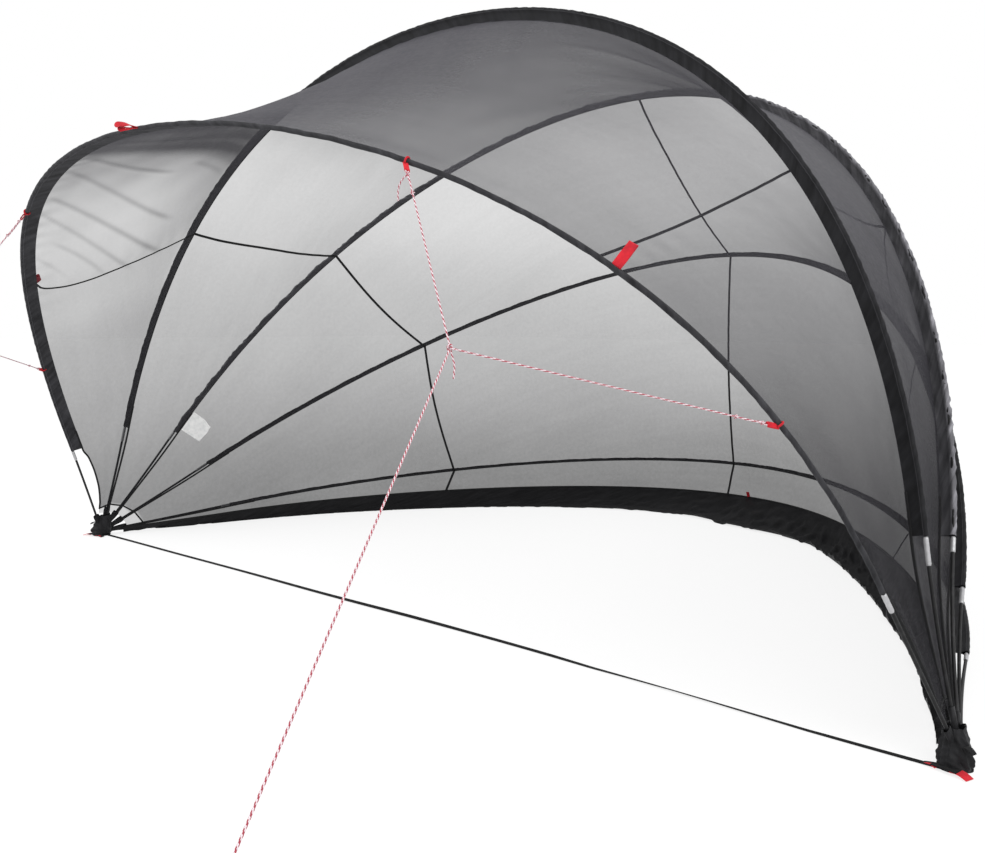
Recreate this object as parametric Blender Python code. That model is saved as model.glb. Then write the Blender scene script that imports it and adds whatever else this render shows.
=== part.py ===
"""Half dome shelter for a pool: five bowed poles in cloth sleeves fan out from two feet."""
import math
from typing import NamedTuple

import bmesh
import bpy
from mathutils import Vector

# Overall sizes, in metres: X from foot to foot, +Y to the closed rear, Z up
HALF_SPAN = 2.615
HUB_Z = 0.020
CLOTH = 0.002
GAP = 0.0003

# Below this reach the poles run nearly straight, and their feet splay outwards
SPLAY = 0.109
SPLAY_REACH = 0.70

# Poles and the ferrules below each sleeve
POLE_R = 0.0065
POLE_SIDES = 8
COLLAR_R = 0.0088
COLLAR = 0.080
COLLAR_BELOW_SLEEVE = 0.012

# Sleeves: a tunnel round the pole that narrows to a flat fin sewn to the panels
TUNNEL_R = 0.0071
SLEEVE_R = 0.0105
FIN_HALF = 0.0015
PANEL_SET = 0.0015
WALL_SET = 0.0009
SKIRT_SET = 0.0006

# Feet: short pockets that the pole ends stand in, on a small ground pad
POLE_END = 0.050
POCKET_START = 0.015
POCKET_MOUTH = 0.110
POCKET_R = 0.0105
CORE_R = 0.045
CORE_WIDTH = 0.024
PAD = Vector((0.110, 0.130, 0.004))

# Ground strap between the feet
STRAP_WIDTH = 0.025
STRAP_THICK = 0.0025

# Guys: two short legs from the front pole to a knot, and one long leg to a peg
ROPE_R = 0.0025
KNOT_R = 0.011
KNOT = Vector((1.651, -1.262, 1.294))
PEG = Vector((2.370, -2.825, 0.0))
PEG_R = 0.004
PEG_HEIGHT = 0.048
PEG_HOOK = 0.020
ROPE_ON_PEG = 0.030
GUY_TAGS = {"low": 28.5, "high": 61.0}
GUY_TAG = 0.036

# Webbing loops on the front pole, and the small label inside the dome
LOOP = 0.080
LOOP_WIDTH = 0.028
TAG_WIDTH = 0.020
TAG_THICK = 0.0025
LABEL = Vector((0.150, 0.140, 0.0006))


class Arch(NamedTuple):
    """A bowed line from foot to foot; angles are in degrees."""

    lean: float
    rise: float
    flare: float
    shoulder: float
    sweep: float
    seam: float
    hem: float
    sleeve: float
    fin: float = 0.046
    tilt: float = 0.0
    fin_stop: float = 0.0014
    foot_z: float = HUB_Z


# lean is measured up from the rear, and sweep is how much more the apex leans forward
ARCHES = {
    "a": Arch(117.00, 2.346, 0.004, 0.017, 6.34, 43.7, 2.77, 14.2, fin=0.055, tilt=70,
              fin_stop=-0.0005),
    "b": Arch(81.67, 2.829, 0.059, 0.009, -1.44, 42.6, 2.36, 13.5),
    "c": Arch(53.64, 3.384, 0.054, -0.031, -4.06, 42.7, 2.23, 13.9),
    "d": Arch(29.54, 3.508, 0.134, -0.106, -2.55, 47.6, 2.86, 17.2),
    "e": Arch(5.22, 3.378, 0.019, -0.057, -1.25, 46.3, 2.44, 16.3),
}
SKIRT_TOP = Arch(2.07, 3.243, -0.038, -0.073, -1.85, 46.0, 2.70, 16.3)
SKIRT_HEM = Arch(0.0, 2.667, 0.063, -0.095, 0.0, 46.0, 3.57, 18.0, foot_z=0.0012)

# Stations along every arch: hem, sleeve end, side seam, apex, and the same mirrored
STEPS = (2, 6, 9)
SLEEVE_AT, SEAM_AT, APEX_AT = 2, 8, 17
LAST = 2 * APEX_AT

# The front panel's free edge climbs to the front sleeve over this share of its width
SCOOP_ENDS = 0.35

COLOURS = {
    "mesh": ((0.36, 0.36, 0.38), 0.8, 0.0),
    "sleeve": ((0.035, 0.035, 0.038), 0.8, 0.0),
    "pole": ((0.02, 0.02, 0.02), 0.45, 0.0),
    "skirt": ((0.014, 0.014, 0.015), 0.7, 0.0),
    "webbing": ((0.02, 0.02, 0.02), 0.85, 0.0),
    "red": ((0.45, 0.02, 0.02), 0.75, 0.0),
    "rope": ((0.55, 0.06, 0.05), 0.8, 0.0),
    "steel": ((0.55, 0.55, 0.56), 0.3, 1.0),
    "label": ((0.85, 0.85, 0.83), 0.7, 0.0),
}


def clear_scene():
    for obj in list(bpy.data.objects):
        bpy.data.objects.remove(obj, do_unlink=True)


def material(slot):
    """One material for each kind of stuff, made when it is first asked for."""
    found = bpy.data.materials.get(slot)
    if found:
        return found
    colour, roughness, metallic = COLOURS[slot]
    made = bpy.data.materials.new(slot)
    made.use_nodes = True
    shader = made.node_tree.nodes["Principled BSDF"]
    shader.inputs["Base Color"].default_value = (*colour, 1.0)
    shader.inputs["Roughness"].default_value = roughness
    shader.inputs["Metallic"].default_value = metallic
    made.diffuse_color = (*colour, 1.0)
    return made


def add_object(name, slot, verts, faces, smooth=True):
    """A mesh object whose faces are turned outwards."""
    mesh = bpy.data.meshes.new(name)
    mesh.from_pydata([tuple(v) for v in verts], [], faces)
    work = bmesh.new()
    work.from_mesh(mesh)
    bmesh.ops.recalc_face_normals(work, faces=work.faces)
    work.to_mesh(mesh)
    work.free()
    mesh.materials.append(material(slot))
    if smooth:
        mesh.shade_smooth()
        mesh.set_sharp_from_angle(angle=math.radians(40))
    obj = bpy.data.objects.new(name, mesh)
    bpy.context.scene.collection.objects.link(obj)
    return obj


# Arches

def arch_angle(arch, t):
    return math.radians(arch.lean + arch.sweep * (math.sin(t) ** 2 - 0.5))


def arch_point(arch, t):
    """The line's point at t radians from the left foot, where pi is the right foot."""
    out = arch.rise * (math.sin(t) + arch.shoulder * math.sin(3 * t))
    angle = arch_angle(arch, t)
    x = -(HALF_SPAN - SPLAY) * math.cos(t) * (1 + arch.flare * math.sin(t) ** 2)
    x -= math.copysign(SPLAY * max(0.0, 1 - out / SPLAY_REACH) ** 2, math.cos(t))
    return Vector((x, out * math.cos(angle), arch.foot_z + out * math.sin(angle)))


def arch_frame(arch, t):
    """Point, tangent, outward normal and rearward normal at t radians."""
    step = 0.002
    tangent = (arch_point(arch, t + step) - arch_point(arch, t - step)).normalized()
    angle = arch_angle(arch, t)
    rear = Vector((0, math.sin(angle), -math.cos(angle)))
    outward = tangent.cross(rear).normalized()
    if outward.x * math.cos(t) > 0:
        outward.negate()
    rear = (rear - tangent * rear.dot(tangent)).normalized()
    return arch_point(arch, t), tangent, outward, rear


def fin_axes(arch, t):
    """Point on the pole, the direction across the fin, and the fin's direction inwards."""
    point, _, outward, rear = arch_frame(arch, t)
    tilt = math.radians(arch.tilt)
    inward = rear * math.sin(tilt) - outward * math.cos(tilt)
    across = outward * math.sin(tilt) + rear * math.cos(tilt)
    return point, across, inward


def station(arch, u):
    """The angle in radians at station u, a whole or fractional number from 0 to LAST."""
    if u > APEX_AT:
        return math.pi - station(arch, LAST - u)
    knots = (arch.hem, arch.sleeve, arch.seam, 90.0)
    for steps, low, high in zip(STEPS, knots, knots[1:]):
        if u <= steps or high == 90.0:
            return math.radians(low + (high - low) * u / steps)
        u -= steps


def seam_point(arch, u):
    point, _, inward = fin_axes(arch, station(arch, u))
    return point + inward * arch.fin


def angle_at_radius(arch, radius):
    """The angle in radians near the left foot where the line is this far from the hub."""
    hub, low, high = arch_point(arch, 0.0), 0.0, 0.3
    for _ in range(30):
        t = (low + high) / 2
        if (arch_point(arch, t) - hub).length < radius:
            low = t
        else:
            high = t
    return t


# Sweeps

def circle(radius, sides, turn=0.5):
    return [(radius * math.sin(2 * math.pi * (k + turn) / sides),
             -radius * math.cos(2 * math.pi * (k + turn) / sides)) for k in range(sides)]


def loft(rings, first=0):
    """Quads between rings of equal length, as a list of faces."""
    count = len(rings[0])
    faces = []
    for i in range(len(rings) - 1):
        low = first + i * count
        for k in range(count):
            nxt = (k + 1) % count
            faces.append((low + k, low + nxt, low + count + nxt, low + count + k))
    return faces


def solid_sweep(name, slot, rings):
    """A closed solid through the rings, with a flat cap at each end."""
    count = len(rings[0])
    last = (len(rings) - 1) * count
    faces = loft(rings) + [tuple(range(count)), tuple(range(last, last + count))]
    return add_object(name, slot, [v for ring in rings for v in ring], faces)


def tube_sweep(name, slot, outer, inner):
    """A closed shell between outer and inner rings, open at both ends."""
    count = len(outer[0])
    total = len(outer) * count
    faces = loft(outer) + loft(inner, total)
    for end in (0, (len(outer) - 1) * count):
        for k in range(count):
            nxt = (k + 1) % count
            faces.append((end + k, end + nxt, total + end + nxt, total + end + k))
    return add_object(name, slot, [v for ring in outer + inner for v in ring], faces)


def straight_rings(points, radius, sides):
    """Rings round a bent rod or rope through the given points."""
    rings = []
    for i, point in enumerate(points):
        before = points[max(i - 1, 0)]
        after = points[min(i + 1, len(points) - 1)]
        along = (after - before).normalized()
        side = along.orthogonal().normalized() if not rings else (
            side - along * side.dot(along)).normalized()
        up = along.cross(side)
        rings.append([point + side * p + up * q for p, q in circle(radius, sides)])
    return rings


# Poles and sleeves

def pole_ring(arch, t, radius):
    point, across, inward = fin_axes(arch, t)
    return [point + across * p + inward * q for p, q in circle(radius, POLE_SIDES)]


def half_pole_stations(arch):
    """Angles and radii from the pole's left end to its apex."""
    speed = (arch_point(arch, math.radians(arch.sleeve) + 0.01)
             - arch_point(arch, math.radians(arch.sleeve) - 0.01)).length / 0.02
    mouth = angle_at_radius(arch, POCKET_MOUTH + 0.01)
    top = math.radians(arch.sleeve) - COLLAR_BELOW_SLEEVE / speed
    low = top - COLLAR / speed
    bare = [(mouth + (low - mouth) * k / 4, POLE_R) for k in range(5)]
    collar = [(low, COLLAR_R), (top, COLLAR_R), (top, POLE_R)]
    sleeved = [(station(arch, u), POLE_R) for u in range(SLEEVE_AT, APEX_AT + 1)]
    return [(angle_at_radius(arch, POLE_END), POLE_R)] + bare + collar + sleeved


def build_pole(key, arch):
    left = half_pole_stations(arch)
    right = [(math.pi - t, r) for t, r in reversed(left[:-1])]
    solid_sweep("pole_" + key, "pole", [pole_ring(arch, t, r) for t, r in left + right])


def sleeve_profile(arch):
    """Outer outline across the sleeve: round over the pole, then a flat fin inwards."""
    tip = arch.fin - arch.fin_stop
    half = [(0.5 * SLEEVE_R, -0.866 * SLEEVE_R), (SLEEVE_R, 0.0),
            (2 * FIN_HALF, 1.5 * SLEEVE_R), (FIN_HALF, tip)]
    return half + [(-p, q) for p, q in reversed(half)]


def build_sleeve(key, arch):
    outline = sleeve_profile(arch)
    tunnel = circle(TUNNEL_R, len(outline), 0.5)
    outer, inner = [], []
    for u in range(SLEEVE_AT, LAST - SLEEVE_AT + 1):
        point, across, inward = fin_axes(arch, station(arch, u))
        outer.append([point + across * p + inward * q for p, q in outline])
        inner.append([point + across * p + inward * q for p, q in tunnel])
    tube_sweep("sleeve_" + key, "sleeve", outer, inner)


# Cloth

class Strip(NamedTuple):
    """Cloth between two arches, which sags inwards across its width."""

    upper: Arch
    lower: Arch
    sag: float = 0.0
    scoop: float = 0.0
    drape: float = 0.0
    sets: tuple = (PANEL_SET, PANEL_SET)


def strip_point(strip, u, s):
    """The middle surface at station u and s across, 0 on the upper arch and 1 on the lower."""
    near_hem = max(0.0, 1 - u / SLEEVE_AT) - max(0.0, 1 - (LAST - u) / SLEEVE_AT)
    u += strip.scoop * max(0.0, 1 - s / SCOOP_ENDS) * near_hem
    top, low = seam_point(strip.upper, u), seam_point(strip.lower, u)
    out_top = arch_frame(strip.upper, station(strip.upper, u))[2]
    out_low = arch_frame(strip.lower, station(strip.lower, u))[2]
    point = top.lerp(low, s)
    point -= (out_top + out_low).normalized() * strip.sag * (low - top).length * 4 * s * (1 - s)
    point.z -= strip.drape * (top.z - low.z) * s * (1 - s)
    return point


def strip_normal(strip, u, s):
    step = 0.02
    low_u, high_u = max(u - step, 0.0), min(u + step, LAST)
    low_s, high_s = max(s - step, 0.0), min(s + step, 1.0)
    along = strip_point(strip, high_u, s) - strip_point(strip, low_u, s)
    over = strip_point(strip, u, high_s) - strip_point(strip, u, low_s)
    return along.cross(over).normalized()


def build_panel(name, slot, strip, start, end, columns):
    """A closed thin solid of the strip between two stations."""
    rows = end - start + 1
    top, bottom = [], []
    for i in range(rows):
        u = start + i
        if i == 0 and start > 0:
            u += GAP / 2 / (strip_point(strip, u + 1, 0.5) - strip_point(strip, u, 0.5)).length
        if i == rows - 1 and end < LAST:
            u -= GAP / 2 / (strip_point(strip, u, 0.5) - strip_point(strip, u - 1, 0.5)).length
        width = (seam_point(strip.upper, u) - seam_point(strip.lower, u)).length
        first, last = strip.sets[0] / width, 1 - strip.sets[1] / width
        for j in range(columns + 1):
            s = first + (last - first) * j / columns
            point, normal = strip_point(strip, u, s), strip_normal(strip, u, s)
            top.append(point + normal * CLOTH / 2)
            bottom.append(point - normal * CLOTH / 2)
    count, across = len(top), columns + 1
    faces = []
    for i in range(rows - 1):
        for j in range(columns):
            a = i * across + j
            faces.append((a, a + 1, a + across + 1, a + across))
            faces.append(tuple(v + count for v in (a, a + across, a + across + 1, a + 1)))
    rim = ([j for j in range(across)]
           + [i * across + columns for i in range(1, rows)]
           + [(rows - 1) * across + j for j in range(columns - 1, -1, -1)]
           + [i * across for i in range(rows - 2, 0, -1)])
    for a, b in zip(rim, rim[1:] + rim[:1]):
        faces.append((a, b, b + count, a + count))
    return add_object(name, slot, top + bottom, faces)


def build_panels():
    keys = "abcde"
    quarters = (("left_low", 0, SEAM_AT), ("left_top", SEAM_AT, APEX_AT),
                ("right_top", APEX_AT, LAST - SEAM_AT), ("right_low", LAST - SEAM_AT, LAST))
    for upper, lower in zip(keys[:3], keys[1:4]):
        strip = Strip(ARCHES[upper], ARCHES[lower], sag=0.035, scoop=1.9 if upper == "a" else 0)
        for side, start, end in quarters:
            build_panel(f"panel_{upper}{lower}_{side}", "mesh", strip, start, end, 5)
    rear = Strip(ARCHES["d"], ARCHES["e"], sag=0.035)
    wall = Strip(ARCHES["e"], SKIRT_TOP, sets=(WALL_SET, SKIRT_SET))
    skirt = Strip(SKIRT_TOP, SKIRT_HEM, drape=1.0, sets=(SKIRT_SET, 0.0))
    for side, start, end in (("left", 0, APEX_AT), ("right", APEX_AT, LAST)):
        build_panel("panel_de_" + side, "mesh", rear, start, end, 5)
        build_panel("wall_" + side, "mesh", wall, start, end, 2)
        build_panel("skirt_" + side, "skirt", skirt, start, end, 4)


# Feet and strap

def boolean(target, other, operation):
    """A union or a difference that is applied at once, with the other solid removed."""
    change = target.modifiers.new(operation, "BOOLEAN")
    change.operation = operation
    change.solver = "EXACT"
    change.object = other
    graph = bpy.context.evaluated_depsgraph_get()
    result = bpy.data.meshes.new_from_object(target.evaluated_get(graph))
    target.modifiers.clear()
    target.data = result
    bpy.data.objects.remove(other, do_unlink=True)


def box(name, slot, low, high):
    corners = [Vector((x, y, z)) for z in (low.z, high.z)
               for x, y in ((low.x, low.y), (high.x, low.y), (high.x, high.y), (low.x, high.y))]
    return solid_sweep(name, slot, [corners[:4], corners[4:]])


def rod(name, slot, start, end, radius, sides=12):
    return solid_sweep(name, slot, straight_rings([start, end], radius, sides))


def build_foot(name, side):
    """A pad with a rounded core and one blind pocket for each pole end."""
    hub = Vector((side * HALF_SPAN, 0, HUB_Z))
    half = Vector((PAD.x / 2, PAD.y / 2, 0))
    floor = Vector((hub.x, hub.y, 0))
    foot = box(name, "webbing", floor - half, floor + half + Vector((0, 0, PAD.z)))
    core_end = Vector((CORE_WIDTH / 2, 0, 0))
    boolean(foot, rod("core", "webbing", hub - core_end, hub + core_end, CORE_R, 20), "UNION")
    bores = []
    for key, arch in ARCHES.items():
        t_end, t_mouth = (angle_at_radius(arch, r) for r in (POLE_END, POCKET_MOUTH + 0.01))
        pole_end, above = (arch_point(arch, t if side < 0 else math.pi - t)
                           for t in (t_end, t_mouth))
        along = (above - pole_end).normalized()
        start = pole_end + along * (POCKET_START - POLE_END)
        mouth = pole_end + along * (POCKET_MOUTH - POLE_END)
        boolean(foot, rod("pocket", "webbing", start, mouth, POCKET_R), "UNION")
        bores.append(rod("bore", "webbing", pole_end - along * GAP, mouth + along * 0.01,
                         POLE_R + 2 * GAP))
    below = Vector((0.2, 0.2, 0.2))
    boolean(foot, box("below", "webbing", floor - below, floor + Vector((0.2, 0.2, 0))),
            "DIFFERENCE")
    for bore in bores:
        boolean(foot, bore, "DIFFERENCE")
    foot.data.shade_smooth()
    foot.data.set_sharp_from_angle(angle=math.radians(40))


def build_strap():
    reach = HALF_SPAN - PAD.x / 2 - GAP
    box("ground_strap", "webbing", Vector((-reach, -STRAP_WIDTH / 2, 0)),
        Vector((reach, STRAP_WIDTH / 2, STRAP_THICK)))


# Guys, pegs and webbing loops

def mirrored(point, side):
    return Vector((side * point.x, point.y, point.z))


def build_tag(name, angle, along, length, width, seat):
    """A webbing tag on the front sleeve at an angle in degrees; returns its tip."""
    point, tangent, _, _ = arch_frame(ARCHES["a"], math.radians(angle))
    square = (along - tangent * along.dot(tangent)).normalized()
    root = point + square * (seat + 2 * GAP)
    tip = root + along * length
    thick = tangent.cross(square) * TAG_THICK / 2
    wide = tangent * width / 2
    narrow = (tangent - along * along.dot(tangent)).normalized() * width / 3
    rings = [[root + wide + thick, root - wide + thick, root - wide - thick, root + wide - thick],
             [tip + narrow + thick, tip - narrow + thick,
              tip - narrow - thick, tip + narrow - thick]]
    solid_sweep(name, "red", rings)
    return tip


def build_guy(label, side):
    """Two tags, the legs that meet at a knot, and the long leg down to the peg."""
    knot, peg = mirrored(KNOT, side), mirrored(PEG, side)
    hook = peg + Vector((0, 0, ROPE_ON_PEG))
    down = (hook - knot).normalized()
    rope = rod("guy_" + label, "rope", knot, hook - down * (PEG_R + 1.35 * ROPE_R), ROPE_R, 6)
    for height, angle in GUY_TAGS.items():
        place = 180 - angle if side > 0 else angle
        toward = knot - arch_point(ARCHES["a"], math.radians(place))
        tip = build_tag(f"guy_tag_{label}_{height}", place, toward.normalized(), GUY_TAG,
                        TAG_WIDTH, SLEEVE_R)
        leg = (knot - tip).normalized()
        boolean(rope, rod("leg", "rope", tip + leg * 2 * GAP, knot, ROPE_R, 6), "UNION")
    lump = straight_rings([knot - down * KNOT_R, knot - down * KNOT_R * 0.5,
                           knot + down * KNOT_R * 0.5, knot + down * KNOT_R], KNOT_R, 8)
    lump[0] = [knot - down * KNOT_R + (v - (knot - down * KNOT_R)) * 0.5 for v in lump[0]]
    lump[3] = [knot + down * KNOT_R + (v - (knot + down * KNOT_R)) * 0.5 for v in lump[3]]
    boolean(rope, solid_sweep("lump", "rope", lump), "UNION")
    away = Vector((down.x, down.y, 0)).normalized()
    bend = [peg, peg + Vector((0, 0, PEG_HEIGHT - 0.006)),
            peg + away * 0.004 + Vector((0, 0, PEG_HEIGHT)),
            peg + away * (PEG_HOOK - 0.004) + Vector((0, 0, PEG_HEIGHT)),
            peg + away * PEG_HOOK + Vector((0, 0, PEG_HEIGHT - 0.014))]
    rings = straight_rings(bend, PEG_R, 8)
    rings[0] = [Vector((v.x, v.y, 0)) for v in rings[0]]
    solid_sweep("peg_" + label, "steel", rings)


def build_loops():
    """The side loops lie back over the cloth, and the top one falls forwards."""
    for label, angle, up, back in (("left", 44, 0.45, 0.89), ("top", 90, 0.62, -0.78),
                                   ("right", 136, 0.45, 0.89)):
        _, _, outward, rear = arch_frame(ARCHES["a"], math.radians(angle))
        along = (outward * up + rear * back).normalized()
        build_tag("seam_loop_" + label, angle, along, LOOP, LOOP_WIDTH, 0.96 * SLEEVE_R)


def build_label():
    """A blank label inside, sewn along the left end of the seam below the third pole."""
    strip = Strip(ARCHES["c"], ARCHES["d"], sag=0.035)
    low, high = strip_point(strip, SLEEVE_AT, 0), strip_point(strip, SLEEVE_AT + 1, 0)
    up = (high - low).normalized()
    over = strip_point(strip, SLEEVE_AT, 0.2) - low
    over = (over - up * over.dot(up)).normalized()
    inward = up.cross(over).normalized()
    if inward.x < 0:
        inward.negate()
    root = low + up * 0.03 + over * 0.006 + inward * (CLOTH / 2 + 0.0007)
    free = over * LABEL.x + inward * 0.02
    thick = inward * LABEL.z
    ring = [root, root + free, root + free + up * LABEL.y, root + up * LABEL.y]
    solid_sweep("care_label", "label", [ring, [v + thick for v in ring]])


def main():
    clear_scene()
    for key, arch in ARCHES.items():
        build_pole(key, arch)
        build_sleeve(key, arch)
    build_panels()
    for name, side in (("foot_left", -1), ("foot_right", 1)):
        build_foot(name, side)
    build_strap()
    for label, side in (("left", -1), ("right", 1)):
        build_guy(label, side)
    build_loops()
    build_label()


main()
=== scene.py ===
"""Looks of the half dome pool shelter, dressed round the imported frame."""
import math
from typing import NamedTuple

import bpy
import numpy as np
from mathutils import Matrix, Vector


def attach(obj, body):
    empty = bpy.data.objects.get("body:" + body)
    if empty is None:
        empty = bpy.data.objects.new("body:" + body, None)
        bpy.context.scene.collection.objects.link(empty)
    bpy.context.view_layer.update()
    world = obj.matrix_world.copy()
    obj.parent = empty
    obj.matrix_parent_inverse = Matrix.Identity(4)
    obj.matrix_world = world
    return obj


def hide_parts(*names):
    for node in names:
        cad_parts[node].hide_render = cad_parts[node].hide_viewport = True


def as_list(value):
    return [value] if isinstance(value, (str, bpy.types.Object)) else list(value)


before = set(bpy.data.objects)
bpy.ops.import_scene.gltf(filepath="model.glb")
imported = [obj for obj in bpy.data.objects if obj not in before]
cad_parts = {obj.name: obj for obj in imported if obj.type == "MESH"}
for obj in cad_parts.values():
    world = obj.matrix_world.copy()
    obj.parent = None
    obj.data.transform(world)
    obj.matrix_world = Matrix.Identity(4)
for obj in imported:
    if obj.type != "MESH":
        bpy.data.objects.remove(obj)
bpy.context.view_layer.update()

# Sizes that part.py has too, in metres
HALF_SPAN = 2.615
HUB_Z = 0.020
SPLAY = 0.109
SPLAY_REACH = 0.70
POLE_R = 0.0065
FERRULE_R = 0.0086
SLEEVE_R = 0.0105
FRONT_SLEEVE_R = 0.0085
POCKET_MOUTH = 0.110
STRAP_WIDTH = 0.025
ROPE_R = 0.0025
KNOT = (1.651, -1.262, 1.294)
PEG = (2.370, -2.825, 0.0)
PEG_R = 0.004
PEG_HEIGHT = 0.048
PEG_HOOK = 0.020
ROPE_ON_PEG = 0.030
GUY_TAGS = {"low": 28.5, "high": 61.0}
GUY_TAG = 0.036
LOOP = 0.080
LOOP_WIDTH = 0.028
TAG_WIDTH = 0.020
LABEL = (0.150, 0.140)
CORD_STEP = 0.003


class Arch(NamedTuple):
    """A bowed line from foot to foot; angles are in degrees."""

    lean: float
    rise: float
    flare: float
    shoulder: float
    sweep: float
    seam: float
    hem: float
    sleeve: float
    fin: float = 0.046
    tilt: float = 0.0
    foot_z: float = HUB_Z


ARCHES = {
    "a": Arch(117.00, 2.366, 0.004, 0.017, 6.34, 43.7, 2.77, 14.2, fin=0.055, tilt=60),
    "b": Arch(81.67, 2.829, 0.059, 0.009, -1.44, 42.6, 2.36, 13.5),
    "c": Arch(53.64, 3.384, 0.054, -0.031, -4.06, 42.7, 2.23, 13.9),
    "d": Arch(29.54, 3.508, 0.134, -0.106, -2.55, 47.6, 2.86, 17.2),
    "e": Arch(5.22, 3.378, 0.019, -0.057, -1.25, 46.3, 2.44, 16.3),
}
SKIRT_TOP = Arch(2.07, 3.243, -0.038, -0.073, -1.85, 46.0, 2.70, 16.3)
SKIRT_HEM = Arch(0.0, 2.667, 0.063, -0.095, 0.0, 46.0, 3.57, 18.0, foot_z=0.0012)

SLEEVE_AT, SEAM_AT, APEX_AT, LAST = 2, 8, 17, 34
SEAMS = {"left": SEAM_AT, "middle": APEX_AT, "right": LAST - SEAM_AT}

TURN = 2 * math.pi

# The photograph's camera
EYE = Vector((3.3888, -3.0750, 1.3649))
YAW, PITCH, ROLL = 37.819, -6.154, 0.404
LENS = 35.818
SHIFT_X, SHIFT_Y = -0.0609, 0.0


# Arches, the same lines as in part.py

def arch_point(arch, t):
    out = arch.rise * (np.sin(t) + arch.shoulder * np.sin(3 * t))
    angle = np.radians(arch.lean + arch.sweep * (np.sin(t) ** 2 - 0.5))
    x = -(HALF_SPAN - SPLAY) * np.cos(t) * (1 + arch.flare * np.sin(t) ** 2)
    x = x - np.sign(np.cos(t)) * SPLAY * np.clip(1 - out / SPLAY_REACH, 0, None) ** 2
    return np.stack([x, out * np.cos(angle), arch.foot_z + out * np.sin(angle)], -1)


def unit(v):
    return v / norm(v)[..., None]


def norm(v):
    return np.linalg.norm(v, axis=-1)


def dot(a, b):
    return (a * b).sum(-1, keepdims=True)


def pairs(a, b):
    """Both of two fields that broadcast together, side by side in a last axis."""
    return np.stack(np.broadcast_arrays(a, b), -1)


def arch_frame(arch, t):
    """Point, tangent, outward normal and rearward normal at angles t in radians."""
    step = 0.002
    tangent = unit(arch_point(arch, t + step) - arch_point(arch, t - step))
    angle = np.radians(arch.lean + arch.sweep * (np.sin(t) ** 2 - 0.5))
    rear = np.stack([np.zeros_like(angle), np.sin(angle), -np.cos(angle)], -1)
    outward = unit(np.cross(tangent, rear))
    rear = unit(rear - tangent * dot(rear, tangent))
    return arch_point(arch, t), tangent, outward, rear


def fin_axes(arch, t):
    """Point on the pole, the direction across the fin, and the fin's direction inwards."""
    point, _, outward, rear = arch_frame(arch, t)
    tilt = math.radians(arch.tilt)
    inward = rear * math.sin(tilt) - outward * math.cos(tilt)
    across = outward * math.sin(tilt) + rear * math.cos(tilt)
    return point, across, inward


def station(arch, u):
    """Angles in radians at stations u, from 0 to LAST."""
    half = [arch.hem, arch.sleeve, arch.seam, 90.0]
    knots = [0, SLEEVE_AT, SEAM_AT, APEX_AT]
    degrees = half + [180 - a for a in half[-2::-1]]
    return np.radians(np.interp(u, knots + [LAST - k for k in knots[-2::-1]], degrees))


def seam_point(arch, u):
    """The panels' edge: beside the sleeve, and closing in on the bare pole at the foot."""
    point, _, inward = fin_axes(arch, station(arch, u))
    near = smooth(np.minimum(u, LAST - u), 0, SLEEVE_AT)
    return point + inward * (arch.fin * (0.4 + 0.6 * near))[..., None]


def angle_at_radius(arch, radius):
    """Angles in radians at the left foot where the arch is each distance from the hub."""
    fine = np.linspace(0.0, 0.35, 800)
    return np.interp(radius, norm(arch_point(arch, fine) - arch_point(arch, fine[:1] * 0)), fine)


def along_arch(arch, degrees):
    """Length along the arch from the left foot to each angle, in metres."""
    fine = np.radians(np.linspace(0, 180, 721))
    return np.interp(np.radians(degrees), fine, lengths(arch_point(arch, fine)))


# Smooth waves with fixed seeds, for folds and unevenness

def waves(a, b, size, seed, terms=7):
    """A smooth uneven field of about -1 to 1 whose features are about size metres."""
    rng = np.random.default_rng(seed)
    total = 0.0
    for _ in range(terms):
        turn, phase = rng.uniform(0, TURN, 2)
        k = math.pi / size * rng.uniform(0.6, 1.5)
        total = total + np.sin(k * (a * math.cos(turn) + b * math.sin(turn)) + phase)
    return total / math.sqrt(terms)


def smooth(x, low, high):
    t = np.clip((x - low) / (high - low), 0, 1)
    return t * t * (3 - 2 * t)


# Meshes

def ride_on(obj, mat, replaces=()):
    """Gives a finished piece its material, its body and the nodes that it stands for."""
    obj.data.materials.append(mat)
    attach(obj, "root")
    if replaces:
        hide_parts(*replaces)
    return obj


def new_object(name, data):
    obj = bpy.data.objects.new(name, data)
    bpy.context.scene.collection.objects.link(obj)
    return obj


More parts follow.
